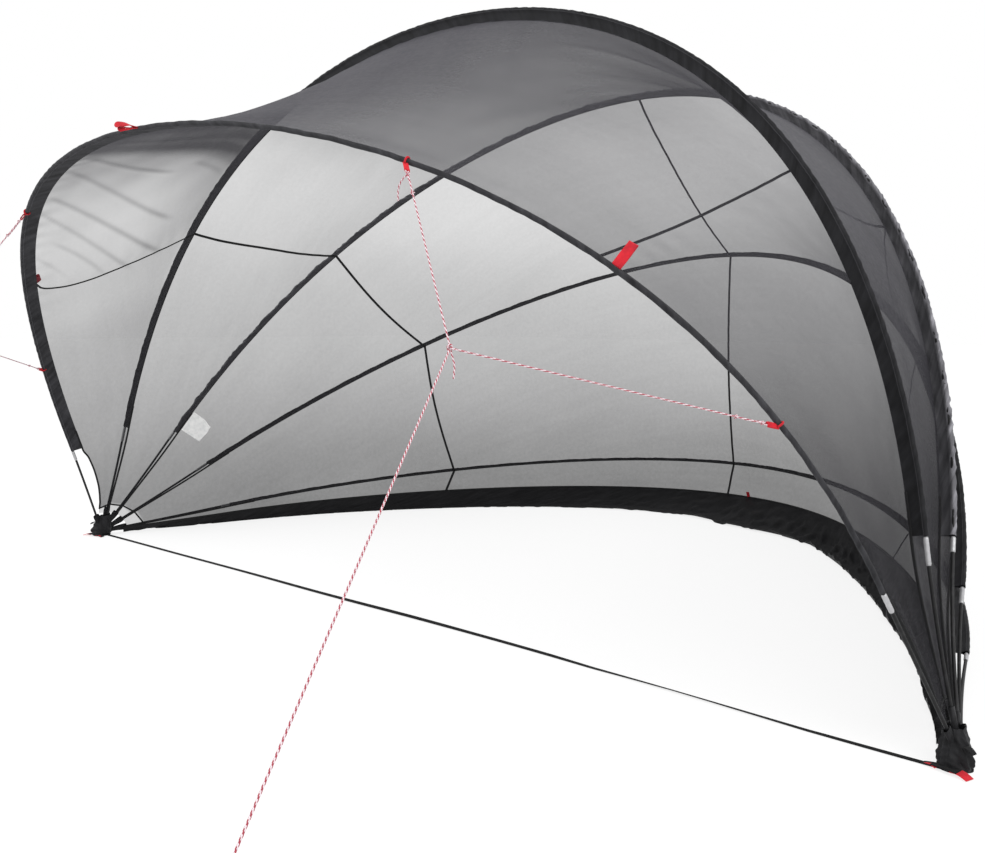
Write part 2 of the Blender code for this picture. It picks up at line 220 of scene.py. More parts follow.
class Soup:
    """Vertices, faces and UVs in metres that end up as one mesh object."""

    def __init__(self):
        self.verts, self.faces, self.uvs, self.count = [], [], [], 0

    def grid(self, points, uv, closed=False, caps=False):
        """A grid of points (n, m, 3); closed joins the last column to the first."""
        n, m = points.shape[:2]
        index = self.count + np.arange(n * m).reshape(n, m)
        right = np.roll(index, -1, axis=1) if closed else index[:, 1:]
        left = index if closed else index[:, :-1]
        quads = np.stack([left[:-1], right[:-1], right[1:], left[1:]], -1).reshape(-1, 4)
        uv_left = uv[:, :m] if closed else uv[:, :-1]
        uv_right = uv[:, 1:]
        corners = np.stack([uv_left[:-1], uv_right[:-1], uv_right[1:], uv_left[1:]], 2)
        self.verts.append(points.reshape(-1, 3))
        self.faces += quads.tolist()
        self.uvs.append(corners.reshape(-1, 2))
        if caps:
            for ring, rows in ((index[0][::-1], uv[0]), (index[-1], uv[-1])):
                self.faces.append(ring.tolist())
                self.uvs.append(np.repeat(rows[:1], m, axis=0))
        self.count += n * m
        return self

    def tube(self, points, radius, sides=10, caps=True, bump=None, run_scale=1.0):
        """A tube along points; radius is a number or one for each point."""
        points = np.asarray(points, float)
        side, up = carried_frames(points)
        turn = np.linspace(0, TURN, sides + 1)
        run = lengths(points)
        size = np.broadcast_to(np.asarray(radius, float).reshape(-1, 1), (len(points), sides + 1))
        if bump is not None:
            size = size * bump(run[:, None], turn)
        ring = side[:, None] * np.cos(turn)[:, None] + up[:, None] * np.sin(turn)[:, None]
        grid = points[:, None] + ring * size[..., None]
        uv = pairs(run[:, None] * run_scale, turn / TURN)
        return self.grid(grid[:, :-1], uv, closed=True, caps=caps)

    def ribbon(self, centre, side, normal, half, thick):
        """A flat closed band along centre, half wide each way across side."""
        profile = np.array([(-1, 0), (-0.93, 1), (-0.5, 1), (0, 1), (0.5, 1), (0.93, 1),
                            (1, 0), (0.93, -1), (0, -1), (-0.93, -1)])
        half = np.broadcast_to(np.asarray(half, float).reshape(-1, 1), (len(centre), 1))
        p, q = profile[:, 0] * half, profile[:, 1] * thick / 2
        side, normal = (np.atleast_2d(v)[:, None] for v in (side, normal))
        grid = centre[:, None] + side * p[..., None] + normal * q[..., None]
        around = np.append(profile[:, 0], profile[0, 0]) * float(half.max())
        uv = pairs(lengths(centre)[:, None], around)
        return self.grid(grid, uv, closed=True, caps=True)

    def make(self, name):
        mesh = bpy.data.meshes.new(name)
        mesh.from_pydata(np.concatenate(self.verts).tolist(), [], self.faces)
        layer = mesh.uv_layers.new(name="metres")
        layer.data.foreach_set("uv", np.concatenate(self.uvs).astype(np.float32).ravel())
        mesh.shade_smooth()
        return new_object(name, mesh)

    def ride(self, name, mat, slot, replaces=()):
        return ride_on(self.make(name), mat, replaces)


def lengths(points):
    """How far along a path each of its points is."""
    return np.concatenate([[0], np.cumsum(norm(np.diff(points, axis=0)))])


def resample(points, step=CORD_STEP):
    points = np.asarray(points, float)
    run = lengths(points)
    count = max(int(run[-1] / step), 2)
    at = np.linspace(0, run[-1], count + 1)
    return np.stack([np.interp(at, run, points[:, k]) for k in range(3)], -1)


def smooth_path(points, step=CORD_STEP):
    """A path through the points with its corners cut round."""
    points = np.asarray(points, float)
    for _ in range(3):
        cut = np.empty((2 * len(points) - 2, 3))
        cut[0::2] = points[:-1] * 0.75 + points[1:] * 0.25
        cut[1::2] = points[:-1] * 0.25 + points[1:] * 0.75
        points = np.concatenate([points[:1], cut, points[-1:]])
    return resample(points, step)


def carried_frames(points):
    """Two normals along a path, carried along without twist."""
    tangent = unit(np.gradient(points, axis=0))
    side = np.cross(tangent[0], [0.31, 0.17, 0.93])
    sides = []
    for t in tangent:
        side = unit(side - t * side.dot(t))
        sides.append(side)
    sides = np.array(sides)
    return sides, np.cross(tangent, sides)


# Materials

class Nodes:
    """A material's node tree with short calls for its nodes."""

    def __init__(self, name):
        self.mat = bpy.data.materials.new(name)
        self.mat.use_nodes = True
        self.tree = self.mat.node_tree
        self.shader = self.tree.nodes["Principled BSDF"]

    def put(self, kind, **inputs):
        node = self.tree.nodes.new("ShaderNode" + kind)
        for key, value in inputs.items():
            self.set(node.inputs[key.replace("_", " ")], value)
        return node

    def set(self, socket, value):
        if isinstance(value, bpy.types.NodeSocket):
            self.tree.links.new(value, socket)
        elif isinstance(value, bpy.types.Node):
            self.tree.links.new(value.outputs[0], socket)
        else:
            socket.default_value = value

    def math(self, operation, *values, clamp=False):
        node = self.tree.nodes.new("ShaderNodeMath")
        node.operation = operation
        node.use_clamp = clamp
        for socket, value in zip(node.inputs, values):
            self.set(socket, value)
        return node.outputs[0]

    def add(self, *values, clamp=False):
        return self.math("ADD", *values, clamp=clamp)

    def times(self, *values):
        return self.math("MULTIPLY", *values)

    def sine(self, value, pitch):
        return self.math("SINE", self.times(value, TURN / pitch))

    def place(self, space="UV", scale=(1, 1, 1)):
        coords = self.tree.nodes.new("ShaderNodeTexCoord")
        return self.put("Mapping", Vector=coords.outputs[space], Scale=scale).outputs[0]

    def axes(self, space="UV"):
        return self.put("SeparateXYZ", Vector=self.place(space)).outputs

    def noise(self, vector, scale, detail=3.0, rough=0.5):
        node = self.put("TexNoise", Vector=vector, Scale=scale, Detail=detail, Roughness=rough)
        return node.outputs[0]

    def cloud(self, scale, detail=3.0, rough=0.5):
        """Noise by place on the object, in features for each metre."""
        return self.noise(self.place("Object"), scale, detail, rough)

    def ramp(self, value, low, high, to_low=0.0, to_high=1.0):
        node = self.put("MapRange", Value=value)
        for key, number in (("From Min", low), ("From Max", high),
                            ("To Min", to_low), ("To Max", to_high)):
            node.inputs[key].default_value = number
        return node.outputs[0]

    def vary(self, noise, low=0.0, high=1.0):
        """A noise field's usual spread, taken to low and high."""
        return self.ramp(noise, 0.3, 0.7, low, high)

    def curve(self, value, points):
        """A smooth curve through points of (value, result), from a value of 0 to the last one."""
        span = points[-1][0]
        node = self.put("FloatCurve", Value=self.math("DIVIDE", value, span, clamp=True))
        line = node.mapping.curves[0]
        line.points[0].location, line.points[-1].location = (0, points[0][1]), (1, points[-1][1])
        for x, y in points[1:-1]:
            line.points.new(x / span, y)
        node.mapping.update()
        return node.outputs[0]

    def mix(self, factor, dark, light):
        node = self.tree.nodes.new("ShaderNodeMix")
        node.data_type = "RGBA"
        self.set(node.inputs[0], factor)
        for socket, value in ((node.inputs[6], dark), (node.inputs[7], light)):
            self.set(socket, (*value, 1.0) if isinstance(value, tuple) else value)
        return node.outputs[2]

    def finish(self, colour, rough, height=None, bump=0.3, distance=0.001, **plain):
        self.set(self.shader.inputs["Base Color"], colour)
        self.set(self.shader.inputs["Roughness"], rough)
        if height is not None:
            node = self.put("Bump", Height=height, Strength=bump, Distance=distance)
            self.set(self.shader.inputs["Normal"], node.outputs[0])
        for key, value in plain.items():
            self.shader.inputs[key.replace("_", " ")].default_value = value
        return self.mat

    def weave(self, pitch):
        """Warp and weft threads as a height from 0 to 1."""
        warp, weft = (self.sine(axis, pitch) for axis in self.axes()[:2])
        return self.ramp(self.times(warp, weft), -1, 1)


# The share of the light straight behind it that the net lets through, by height in metres
CLEAR = ((0.0, 0.246), (0.35, 0.273), (0.7, 0.364), (1.1, 0.466), (1.6, 0.553), (2.2, 0.694),
         (2.8, 0.591))


def net_material(name, gain, power, steep, tone):
    """See-through net: it lets less through where it is slanted, low down, and where painted shade is
    set on the cloth; it lets more through where the net is thinner, and its colour is painted darker low
    down.
    """
    made = Nodes(name)
    cloud = made.cloud(1.1, 4.0, 0.55)
    lengthwise = made.noise(made.place("UV", (0.5, 7.0, 1.0)), 2.0, 4.0, 0.6)
    fine = made.cloud(46.0, 2.0)
    threads = made.weave(0.0034)
    height = made.axes("Object")[2]
    # painted shade set on the cloth, and the thinner net at the feet
    net_thinness_and_painted_shade = made.tree.nodes.new("ShaderNodeAttribute")
    net_thinness_and_painted_shade.attribute_name = "net_thinness_and_painted_shade"
    open_share = made.math("SUBTRACT", gain, made.times(net_thinness_and_painted_shade.outputs["Fac"], gain))
    share = made.times(made.curve(height, CLEAR), open_share)
    for field, swing in ((cloud, 0.022), (lengthwise, 0.010), (fine, 0.012)):
        share = made.add(share, made.vary(field, -swing, swing))
    share = made.add(share, made.ramp(threads, 0, 1, -0.04, 0.04), clamp=True)
    slant = made.math("POWER", made.put("LayerWeight", Blend=0.5).outputs["Facing"], power)
    square = made.math("POWER", made.math("SUBTRACT", 1.0, slant, clamp=True), steep)
    through = made.times(share, square)
    made.set(made.shader.inputs["Alpha"], made.math("SUBTRACT", 1.0, through, clamp=True))
    colour = made.mix(made.ramp(lengthwise, 0.25, 0.75), tone, tuple(c * 1.35 for c in tone))
    # painted shade: the net's colour darkens towards the ground
    colour = made.mix(made.ramp(height, 0.5, 1.9), tuple(c * 0.36 for c in tone), colour)
    return made.finish(colour, made.vary(fine, 0.62, 0.8), threads, 0.25, 0.0005,
                       Sheen_Weight=0.05, Sheen_Roughness=0.4,
                       Sheen_Tint=(0.72, 0.70, 0.80, 1.0), Specular_IOR_Level=0.12)


def cloth_material(name, dark, light, pitch=0.0016, rough=0.72, sheen=0.03, stitch=None,
                   gloss=0.12, slant=0.9, lit_side=0.0, busy=24.0):
    """Opaque cloth with a weave, with painted highlights along its slanting folds, lighter worn patches
    and a row of stitches.

    On a sleeve it also has painted light on its outer side, away from the fin.
    """
    made = Nodes(name)
    along, over = made.axes()[:2]
    turned = made.put("CombineXYZ", X=made.math("MULTIPLY_ADD", over, slant, along),
                      Y=made.times(over, 0.22))
    folds = made.noise(turned, busy, 5.0, 0.62)
    wear = made.cloud(9.0, 5.0, 0.6)
    threads = made.weave(pitch)
    # painted highlights along the folds, plus random wear
    shade = made.add(made.ramp(folds, 0.35, 0.72, 0.0, 0.75),
                      made.ramp(wear, 0.35, 0.7, 0.0, 0.35), clamp=True)
    if lit_side:
        # painted light on the sleeve's outer side, away from the fin, in streaks along the folds
        outer = made.ramp(made.math("ABSOLUTE", over), 0.014, 0.030, 1.0, 0.08)
        streaks = made.ramp(folds, 0.46, 0.62, 0.36, 1.0)
        shade = made.math("MULTIPLY_ADD", made.times(outer, streaks), lit_side,
                          made.times(shade, 0.1), clamp=True)
    colour = made.mix(shade, dark, light)
    height = made.add(made.times(threads, 0.35), folds)
    if stitch is not None:
        off = made.math("SUBTRACT", made.math("ABSOLUTE", over), stitch)
        near = made.math("LESS_THAN", made.math("ABSOLUTE", off), 0.0009)
        dash = made.math("LESS_THAN", made.math("FRACT", made.times(along, 170.0)), 0.62)
        thread = made.times(near, dash)
        colour = made.mix(thread, colour, tuple(c * 2.2 + 0.02 for c in light))
        height = made.add(height, thread)
    return made.finish(colour, made.vary(wear, rough - 0.08, rough + 0.08), height,
                       0.5, 0.0008, Sheen_Weight=sheen, Sheen_Roughness=0.45,
                       Sheen_Tint=(0.75, 0.75, 0.8, 1.0), Specular_IOR_Level=gloss)


def webbing_material(name, dark, light, rough=0.75):
    """Woven tape: ribs across it."""
    made = Nodes(name)
    x, y = made.axes()[:2]
    height = made.ramp(made.times(made.sine(x, 0.0022), made.sine(y, 0.0031)), -1, 1)
    wear = made.cloud(24.0, 4.0, 0.6)
    colour = made.mix(made.ramp(wear, 0.3, 0.75), dark, light)
    # painted highlight: the colour is lighter on the raised ribs
    return made.finish(made.mix(made.ramp(height, 0, 1, 0.0, 0.35), colour, light),
                       made.vary(wear, rough - 0.1, rough + 0.1), height, 0.6, 0.0008,
                       Sheen_Weight=0.04, Specular_IOR_Level=0.12)


def rope_material():
    """Braided cord of red and white strands."""
    made = Nodes("braid")
    x, y = made.axes()[:2]
    turn = made.times(y, TURN)

    def strand(pitch, turns):
        angle = made.add(made.times(x, TURN / pitch), made.times(turn, turns))
        return made.math("SINE", angle)

    fuzz = made.cloud(420.0)
    over = made.add(strand(0.015, 2.0), made.times(strand(0.0075, -2.0), 0.55))
    over = made.add(over, made.vary(fuzz, -0.2, 0.2))
    colour = made.mix(made.ramp(over, -0.20, 0.15), (0.72, 0.62, 0.66), (0.34, 0.035, 0.055))
    fine = strand(0.0028, 5.0)
    return made.finish(colour, made.vary(fuzz, 0.6, 0.85), fine, 0.5, 0.0004,
                       Sheen_Weight=0.2, Specular_IOR_Level=0.3)


def metal_material(name, colour, rough, metallic):
    """Drawn tube with fine lengthwise scratches and duller patches."""
    made = Nodes(name)
    lines = made.noise(made.place("UV", (4.0, 60.0, 1.0)), 6.0, 4.0, 0.7)
    patches = made.cloud(60.0)
    tint = made.mix(made.vary(patches), tuple(c * 0.82 for c in colour), colour)
    return made.finish(tint, made.vary(lines, rough - 0.08, rough + 0.12), lines, 0.15,
                       0.0004, Metallic=metallic)


def pole_material():
    """Black glass fibre rod: dark, a little glossy, with fibres along it."""
    made = Nodes("fibre")
    fibres = made.noise(made.place("UV", (1.5, 40.0, 1.0)), 8.0, 4.0, 0.7)
    scuffs = made.cloud(30.0, 5.0, 0.7)
    colour = made.mix(made.ramp(scuffs, 0.5, 0.8), (0.006, 0.006, 0.0065), (0.028, 0.028, 0.03))
    return made.finish(colour, made.vary(fibres, 0.38, 0.55), fibres, 0.2, 0.0003,
                       Specular_IOR_Level=0.25)


def label_material():
    """Blank white satin label with a fine weave."""
    made = Nodes("satin")
    threads = made.weave(0.0011)
    cloud = made.cloud(40.0)
    colour = made.mix(made.vary(cloud), (0.74, 0.75, 0.75), (0.86, 0.86, 0.85))
    made.set(made.shader.inputs["Alpha"], made.vary(cloud, 0.82, 0.94))
    return made.finish(colour, made.ramp(threads, 0, 1, 0.42, 0.5), threads, 0.1, 0.0002)


FRONT_NET = net_material("front_net", 1.14, 2.43, 1.25, (0.034, 0.0330, 0.0385))
ROOF_NET = net_material("roof_net", 1.0, 2.43, 1.25, (0.032, 0.0312, 0.0365))
NET = net_material("net", 1.0, 4.26, 1.0, (0.036, 0.0352, 0.0405))
WALL_NET = net_material("wall_net", 0.92, 4.26, 1.0, (0.030, 0.0295, 0.033))
SLEEVE = cloth_material("sleeve_cloth", (0.0055, 0.0055, 0.006), (0.022, 0.022, 0.0245),
                        stitch=0.019)
FRONT_SLEEVE = cloth_material("front_sleeve_cloth", (0.008, 0.008, 0.009),
                              (0.050, 0.050, 0.055), stitch=0.019)
# painted light on its outer side and bright painted highlights along its folds
RUCHED = cloth_material("ruched_cloth", (0.012, 0.012, 0.0135), (0.29, 0.285, 0.31),
                        slant=2.6, lit_side=0.9, busy=12.0)
SKIRT = cloth_material("skirt_cloth", (0.0045, 0.0045, 0.005), (0.016, 0.016, 0.0175), 0.002,
                       0.6, 0.02, slant=0.3)
TAPE = webbing_material("seam_tape", (0.006, 0.006, 0.0065), (0.017, 0.017, 0.018))
BLACK = webbing_material("black_webbing", (0.003, 0.003, 0.0033), (0.011, 0.011, 0.012))
RED = webbing_material("red_webbing", (0.30, 0.010, 0.020), (0.70, 0.022, 0.034), 0.6)
FOOT = cloth_material("foot_cloth", (0.005, 0.005, 0.0055), (0.020, 0.020, 0.022), 0.0022, 0.55,
                      0.04)
ROPE = rope_material()
FIBRE = pole_material()
FERRULE = metal_material("ferrule", (0.45, 0.45, 0.46), 0.40, 0.55)
STEEL = metal_material("steel", (0.58, 0.58, 0.60), 0.34, 1.0)
SATIN = label_material()


# Cloth between the arches

# How far the front panel's free edge stands off the front pole, by station, as a share across
FREE_EDGE = ((0.0, 0.08, 0.2, 0.35, 0.55, 0.8, 1.1, 1.4, 1.72, 1.9),
             (0.0, 0.0, 0.13, 0.23, 0.25, 0.23, 0.18, 0.12, 0.06, 0.0))


class Strip:
    """Cloth between two arches: its smooth middle surface, with folds pressed into it."""

    # dense gives painted shade on the net, as a change in how much it lets through
    def __init__(self, upper, lower, sag=0.0, drape=0.0, folds=None, free=False, push=None,
                 dense=None, hem=(0, 0)):
        self.upper, self.lower, self.sag, self.drape = upper, lower, sag, drape
        self.folds, self.free, self.push, self.dense, self.hem = folds, free, push, dense, hem
        self.u = np.linspace(0, LAST, 341)
        self.run = lengths(self.base(self.u, np.full_like(self.u, 0.5)))
        self.width = norm(seam_point(upper, self.u) - seam_point(lower, self.u))

    def base(self, u, s):
        if self.free:
            s = s + (1 - s) * np.interp(np.minimum(u, LAST - u), *FREE_EDGE)
        top, low = seam_point(self.upper, u), seam_point(self.lower, u)
        out = (arch_frame(self.upper, station(self.upper, u))[2]
               + arch_frame(self.lower, station(self.lower, u))[2])
        if self.push is not None:
            inward = unit(low * [-1, -1, 0])
            low = low + inward * np.interp(u, *self.push)[..., None]
        width, s = norm(low - top)[..., None], s[..., None]
        point = top * (1 - s) + low * s - unit(out) * self.sag * width * 4 * s * (1 - s)
        point[..., 2] -= (self.drape * (top[..., 2:] - low[..., 2:]) * s * (1 - s))[..., 0]
        return point

    def normal(self, u, s):
        """Unit normals that point out of the dome."""
        low_u, high_u = np.clip(u - 0.02, 0, LAST), np.clip(u + 0.02, 0, LAST)
        low_s, high_s = np.clip(s - 0.02, 0, 1), np.clip(s + 0.02, 0, 1)
        along = self.base(high_u, s) - self.base(low_u, s)
        over = self.base(u, high_s) - self.base(u, low_s)
        normal = unit(np.cross(along, over))
        out = arch_frame(self.upper, station(self.upper, u))[2]
        return normal * np.where(dot(normal, out) < 0, -1.0, 1.0)

    def place(self, u, s, lift=0.0):
        """Points of the folded cloth at stations u and shares s across, lifted off it."""
        u, s = np.broadcast_arrays(np.asarray(u, float), np.asarray(s, float))
        along = np.interp(u, self.u, self.run)
        width = np.interp(u, self.u, self.width)
        height = lift
        if self.folds is not None:
            height = height + self.folds(self, u, s, along, s * width, width)
        return self.base(u, s) + self.normal(u, s) * np.asarray(height)[..., None]

    def metres(self, u, s):
        width = np.interp(u, self.u, self.width)
        return pairs(np.interp(u, self.u, self.run), s * width)


def crease(strip, along, across, line, half):
    """A soft ridge along a line of two points (station, share across), 1 at its middle."""
    (u0, s0), (u1, s1) = line
    a0, b0 = strip.metres(u0, s0)
    a1, b1 = strip.metres(u1, s1)
    length = math.hypot(a1 - a0, b1 - b0)
    da, db = (a1 - a0) / length, (b1 - b0) / length
    t = ((along - a0) * da + (across - b0) * db) / length
    off = (along - a0) * -db + (across - b0) * da + CREASE_BOW * 4 * t * (1 - t)
    return np.exp(-(off / half) ** 2) * smooth(t, 0.0, 0.3) * (1 - smooth(t, 0.7, 1.0))


def puckers(strip, along, across, width):
    """Small gathers where the cloth is sewn to the sleeves and along the cross seams."""
    total = 0.0
    for edge, seed in ((across, 3), (width - across, 4)):
        phase = 2 * waves(along, 0, 0.5, seed, 4)
        depth = 0.0008 * (0.4 + np.abs(waves(along, 0, 0.35, seed + 2)))
        total = total + depth * np.exp(-edge / 0.05) * np.sin(TURN * along / 0.11 + phase)
    for k in SEAMS.values():
        at = np.interp(k, strip.u, strip.run)
        phase = 2 * waves(across, 0, 0.4, 9 + k, 4)
        total = total + 0.0010 * np.exp(-np.abs(along - at) / 0.05) * np.sin(
            TURN * across / 0.12 + phase)
    return total


def gathers(u, s, width, count, depth):
    """Folds that fan out of each foot and flatten higher up."""
    end = np.minimum(u, LAST - u)
    strength = np.exp(-np.maximum(end - 1.0, 0) / 2.4) * smooth(end, -0.5, 1.2)
    wander = 0.6 * np.sin(0.9 * end + 2)
    return depth * width * strength * np.sin(TURN * count * s + wander) * np.sin(
        math.pi * s) ** 0.5


def fade(s):
    """1 inside the cloth, falling to 0 at both sewn edges."""
    return smooth(np.minimum(s, 1 - s), 0.0, 0.10)


# The left front panel's wrinkles through points (station, share across), and their strength
WRINKLES = ((1.0, (13.4, 0.03), (11.4, 0.27), (10.5, 0.38), (9.55, 0.56), (9, 0.69)),
            (1.0, (11.9, 0.03), (10.1, 0.27), (9.3, 0.38), (8.25, 0.61), (7.7, 0.74)),
            (0.75, (11.1, 0.02), (10, 0.15), (9.3, 0.24), (7.6, 0.54)),
            (0.6, (9.5, 0.10), (8.4, 0.27), (7.7, 0.38)), (0.5, (9.1, 0.02), (8.2, 0.14)),
            (1.1, (14.2, 0.05), (12.8, 0.22), (12.1, 0.37), (11.4, 0.50)),
            (0.6, (11.4, 0.62), (10.6, 0.78), (10, 0.90)))
WRINKLE_HALF, WRINKLE_HEIGHT = 0.0125, 0.0035
# Metres across a wrinkle for each station away from its line
WRINKLE_SCALE = 0.143
CREASE_BOW = 0.03
# Creases as start and end (station, share across), half width and height in metres
BC_CREASES = [((7.6, 0.15), (2.5, 0.75), 0.05, 0.004), ((6.4, 0.70), (2.2, 0.30), 0.04, 0.003),
              ((16.0, 0.15), (9.5, 0.80), 0.06, 0.004), ((9.6, 0.10), (8.2, 0.45), 0.02, 0.003)]
CD_CREASES = [((7.5, 0.20), (2.4, 0.60), 0.05, 0.005), ((7.2, 0.80), (2.2, 0.45), 0.04, 0.004),
              ((16.0, 0.70), (9.0, 0.20), 0.06, 0.004)]


def wrinkles(u, s):
    """Soft ridges along the wrinkles of the left front panel, about 1 at their middles."""
    total = 0.0
    for strength, *line in WRINKLES:
        stations, shares = np.array(line).T
        path = np.polynomial.Polynomial.fit(shares, stations, min(2, len(line) - 1))
        off = WRINKLE_SCALE * (u - path(s))
        ends = smooth(s, shares[0] - 0.05, shares[0] + 0.03) * (
            1 - smooth(s, shares[-1] - 0.10, shares[-1] + 0.06))
        total = total + strength * ends * np.exp(-(off / WRINKLE_HALF) ** 2)
    return total


def pressed(creases, count, depth, seed, front=False):
    """A strip's folds: its creases, mirrored on the right half, and unevenness."""
    def folds(strip, u, s, along, across, width):
        total = puckers(strip, along, across, width) + gathers(u, s, width, count, depth)
        soft = 0.005 * waves(along, across, 0.6, seed) + 0.0010 * waves(along, across, 0.2, seed + 1)
        for start, end, half, amount in creases:
            for line in ((start, end), ((LAST - start[0], start[1]), (LAST - end[0], end[1]))):
                soft = soft + amount * crease(strip, along, across, line, half)
        if front:
            soft = soft + WRINKLE_HEIGHT * wrinkles(u, s)
        return total + soft * fade(s)
    return folds


def front_painted_shade(u, s, along):
    """Painted shade and light on the front panel, set as how much it lets through: painted shade along
    its wrinkles, a painted dark shoulder, a painted light side and a little painted shade near the left
    foot.
    """
    edge = np.interp(s, [0, 0.2, 0.45, 0.66, 0.8, 1], [14.5, 13.8, 12.55, 11.55, 10.8, 9.85])
    above = smooth(u - edge, -0.30, 0.50)
    level = u - edge
    ripple = 0.09 * waves(0.4 * along, 3.0 * level * 0.21, 0.30, 55) + 0.05 * waves(
        0.6 * along, 1.3 * level, 0.30, 56)
    # painted shade: the dark shoulder above the edge line
    dark = above * (1 - smooth(u, 16.5, 23.0)) * (0.74 + ripple + 0.08 * smooth(level, 0.3, 1.2))
    # painted light: a lighter side below the shoulder
    side = smooth(u, 7.2, 9.3) * (1 - above)
    light = side * (0.30 * (1 - smooth(s, 0.40, 0.80)) - 0.16 * smooth(s, 0.78, 0.95))
    # painted shade near the left foot; the sum adds painted shade along the wrinkles
    low = 0.15 * (1 - smooth(u, 5.2, 6.8))
    return np.clip(dark - light + low + 0.48 * wrinkles(u, s) * (1 - 0.6 * above), -0.38, 0.86)


def rear_painted_shade(u, s, _):
    """Painted shade on the roof strip behind the front one: it lets less through low on its right side,
    and on a patch by its upper edge left of the middle.
    """
    left = 0.13 * smooth(u, 10.5, 12.0) * (1 - smooth(u, 15.0, 17.5)) * (1 - smooth(s, 0.3, 0.6))
    return 0.45 * smooth(u, 19.5, 23.5) + left


def skirt_folds(_, u, s, along, across, width):
    """Slack cloth: deep uneven folds that grow towards the scalloped hem."""
    rise = smooth(s, 0.0, 0.8)
    slack = 0.30 + 0.70 * smooth(u, 14, 24)
    fine = 0.010 * waves(along, across, 0.085, 31) + 0.006 * waves(along, 0.5 * across, 0.04, 32)
    broad = 0.024 * np.abs(waves(along, 0.25 * across, 0.16, 33))
    return rise * slack * (fine + broad) + 0.004 * waves(along, across, 0.1, 34) * fade(s)


# How far the skirt's hem lies further in, by station in metres
HEM_PUSH = ((0, 0.6, 2, 6.4, 12, 17, 18.3, 19.5, 20.5, 21.6, 23.0, 24.5, 26.2, 27.8, 29.5, 31.8, 33, 34),
            (0, -0.015, -0.01, -0.02, 0, -0.02, 0.05, 0.025, -0.03, -0.06, -0.01, 0.035, 0.065,
             0.080, 0.068, 0.050, 0.045, 0.055))
# The density of the thinner net at the foot, below the tape between the stations of hem
THIN_NET = -1.3

STRIPS = {
    "ab": Strip(ARCHES["a"], ARCHES["b"], 0.035, free=True, dense=front_painted_shade,
                folds=pressed([], 2.5, 0.006, 11, front=True), hem=(0.18, 0.23)),
    "bc": Strip(ARCHES["b"], ARCHES["c"], 0.035, folds=pressed(BC_CREASES, 2.0, 0.008, 13),
                dense=rear_painted_shade, hem=(0.23, 0.24)),
    "cd": Strip(ARCHES["c"], ARCHES["d"], 0.035, folds=pressed(CD_CREASES, 2.5, 0.008, 15),
                hem=(0.24, 0.31)),
    "de": Strip(ARCHES["d"], ARCHES["e"], 0.035, folds=pressed([], 2.0, 0.007, 17),
                hem=(0.31, 0.36)),
    "wall": Strip(ARCHES["e"], SKIRT_TOP, folds=pressed([], 1.0, 0.004, 19)),
    "skirt": Strip(SKIRT_TOP, SKIRT_HEM, drape=1.0, folds=skirt_folds, push=HEM_PUSH),
}
QUARTERS = ("left_low", "left_top", "right_top", "right_low")
# Half widths of the tapes, and how far cloth stays above the ground, in metres
FRONT_TAPE, SEAM_TAPE, WALL_TAPE, HEM_TAPE = 0.0055, 0.008, 0.0085, 0.005
GROUND_GAP = 0.0006


def cloth_grid(strip, name, rows, columns):
    rr, ss = np.meshgrid(np.linspace(0, 1, rows), np.linspace(0, 1, columns), indexing="ij")
    hem = np.interp(ss, [0, 1], strip.hem)
    start = 0.2 * hem
    uu = start + (LAST - 2 * start) * rr
    points = strip.place(uu, ss)
    points[..., 2] = np.maximum(points[..., 2], GROUND_GAP)
    metres = strip.metres(uu, ss)
    obj = Soup().grid(points, metres).make(name)
    share = np.zeros_like(ss)
    # painted shade from the strip, then the thinner net below the foot tapes
    if strip.dense is not None:
        share = share + strip.dense(uu, ss, metres[..., 0])
    thinness_and_shade = np.where(np.minimum(uu, LAST - uu) < hem, THIN_NET, share)
    obj.data.attributes.new("net_thinness_and_painted_shade", "FLOAT", "POINT").data.foreach_set(
        "value", thinness_and_shade.astype(np.float32).ravel())
    return obj, points


def flat_area(points):
    a, b, c, d = points[:-1, :-1], points[:-1, 1:], points[1:, 1:], points[1:, :-1]
    return float((norm(np.cross(b - a, c - a)) + norm(np.cross(c - a, d - a))).sum() / 2)


def tape(name, strip, u, s, half, lift=-0.0012, thick=0.0012):
    """A tape on the cloth along stations u and shares s."""
    centre = strip.place(u, s, lift)
    normal = strip.normal(u, s)
    across = unit(np.cross(unit(np.gradient(centre, axis=0)), normal))
    return Soup().ribbon(centre, across, normal, half, thick).ride(name, TAPE, "sleeve")


def seam_line(key, side, s):
    """Stations of a cross seam at shares s across its strip; the front ones are slack."""
    u = np.full_like(s, float(SEAMS[side]))
    if key == "ab" and side == "left":
        u = u - 0.45 * np.sin(math.pi * s ** 0.55) * (1 - 0.4 * s) - 0.26 * smooth(s, 0.4, 1.0) + (
            0.15 * (1 - s))
    elif key == "ab" and side == "right":
        u = u - 0.35 * (1 - s)
    elif side == "left":
        u = u - 0.12 * np.sin(math.pi * s)
        if key == "bc":
            u = u - 0.26 * (1 - smooth(s, 0.0, 0.6))
    return u


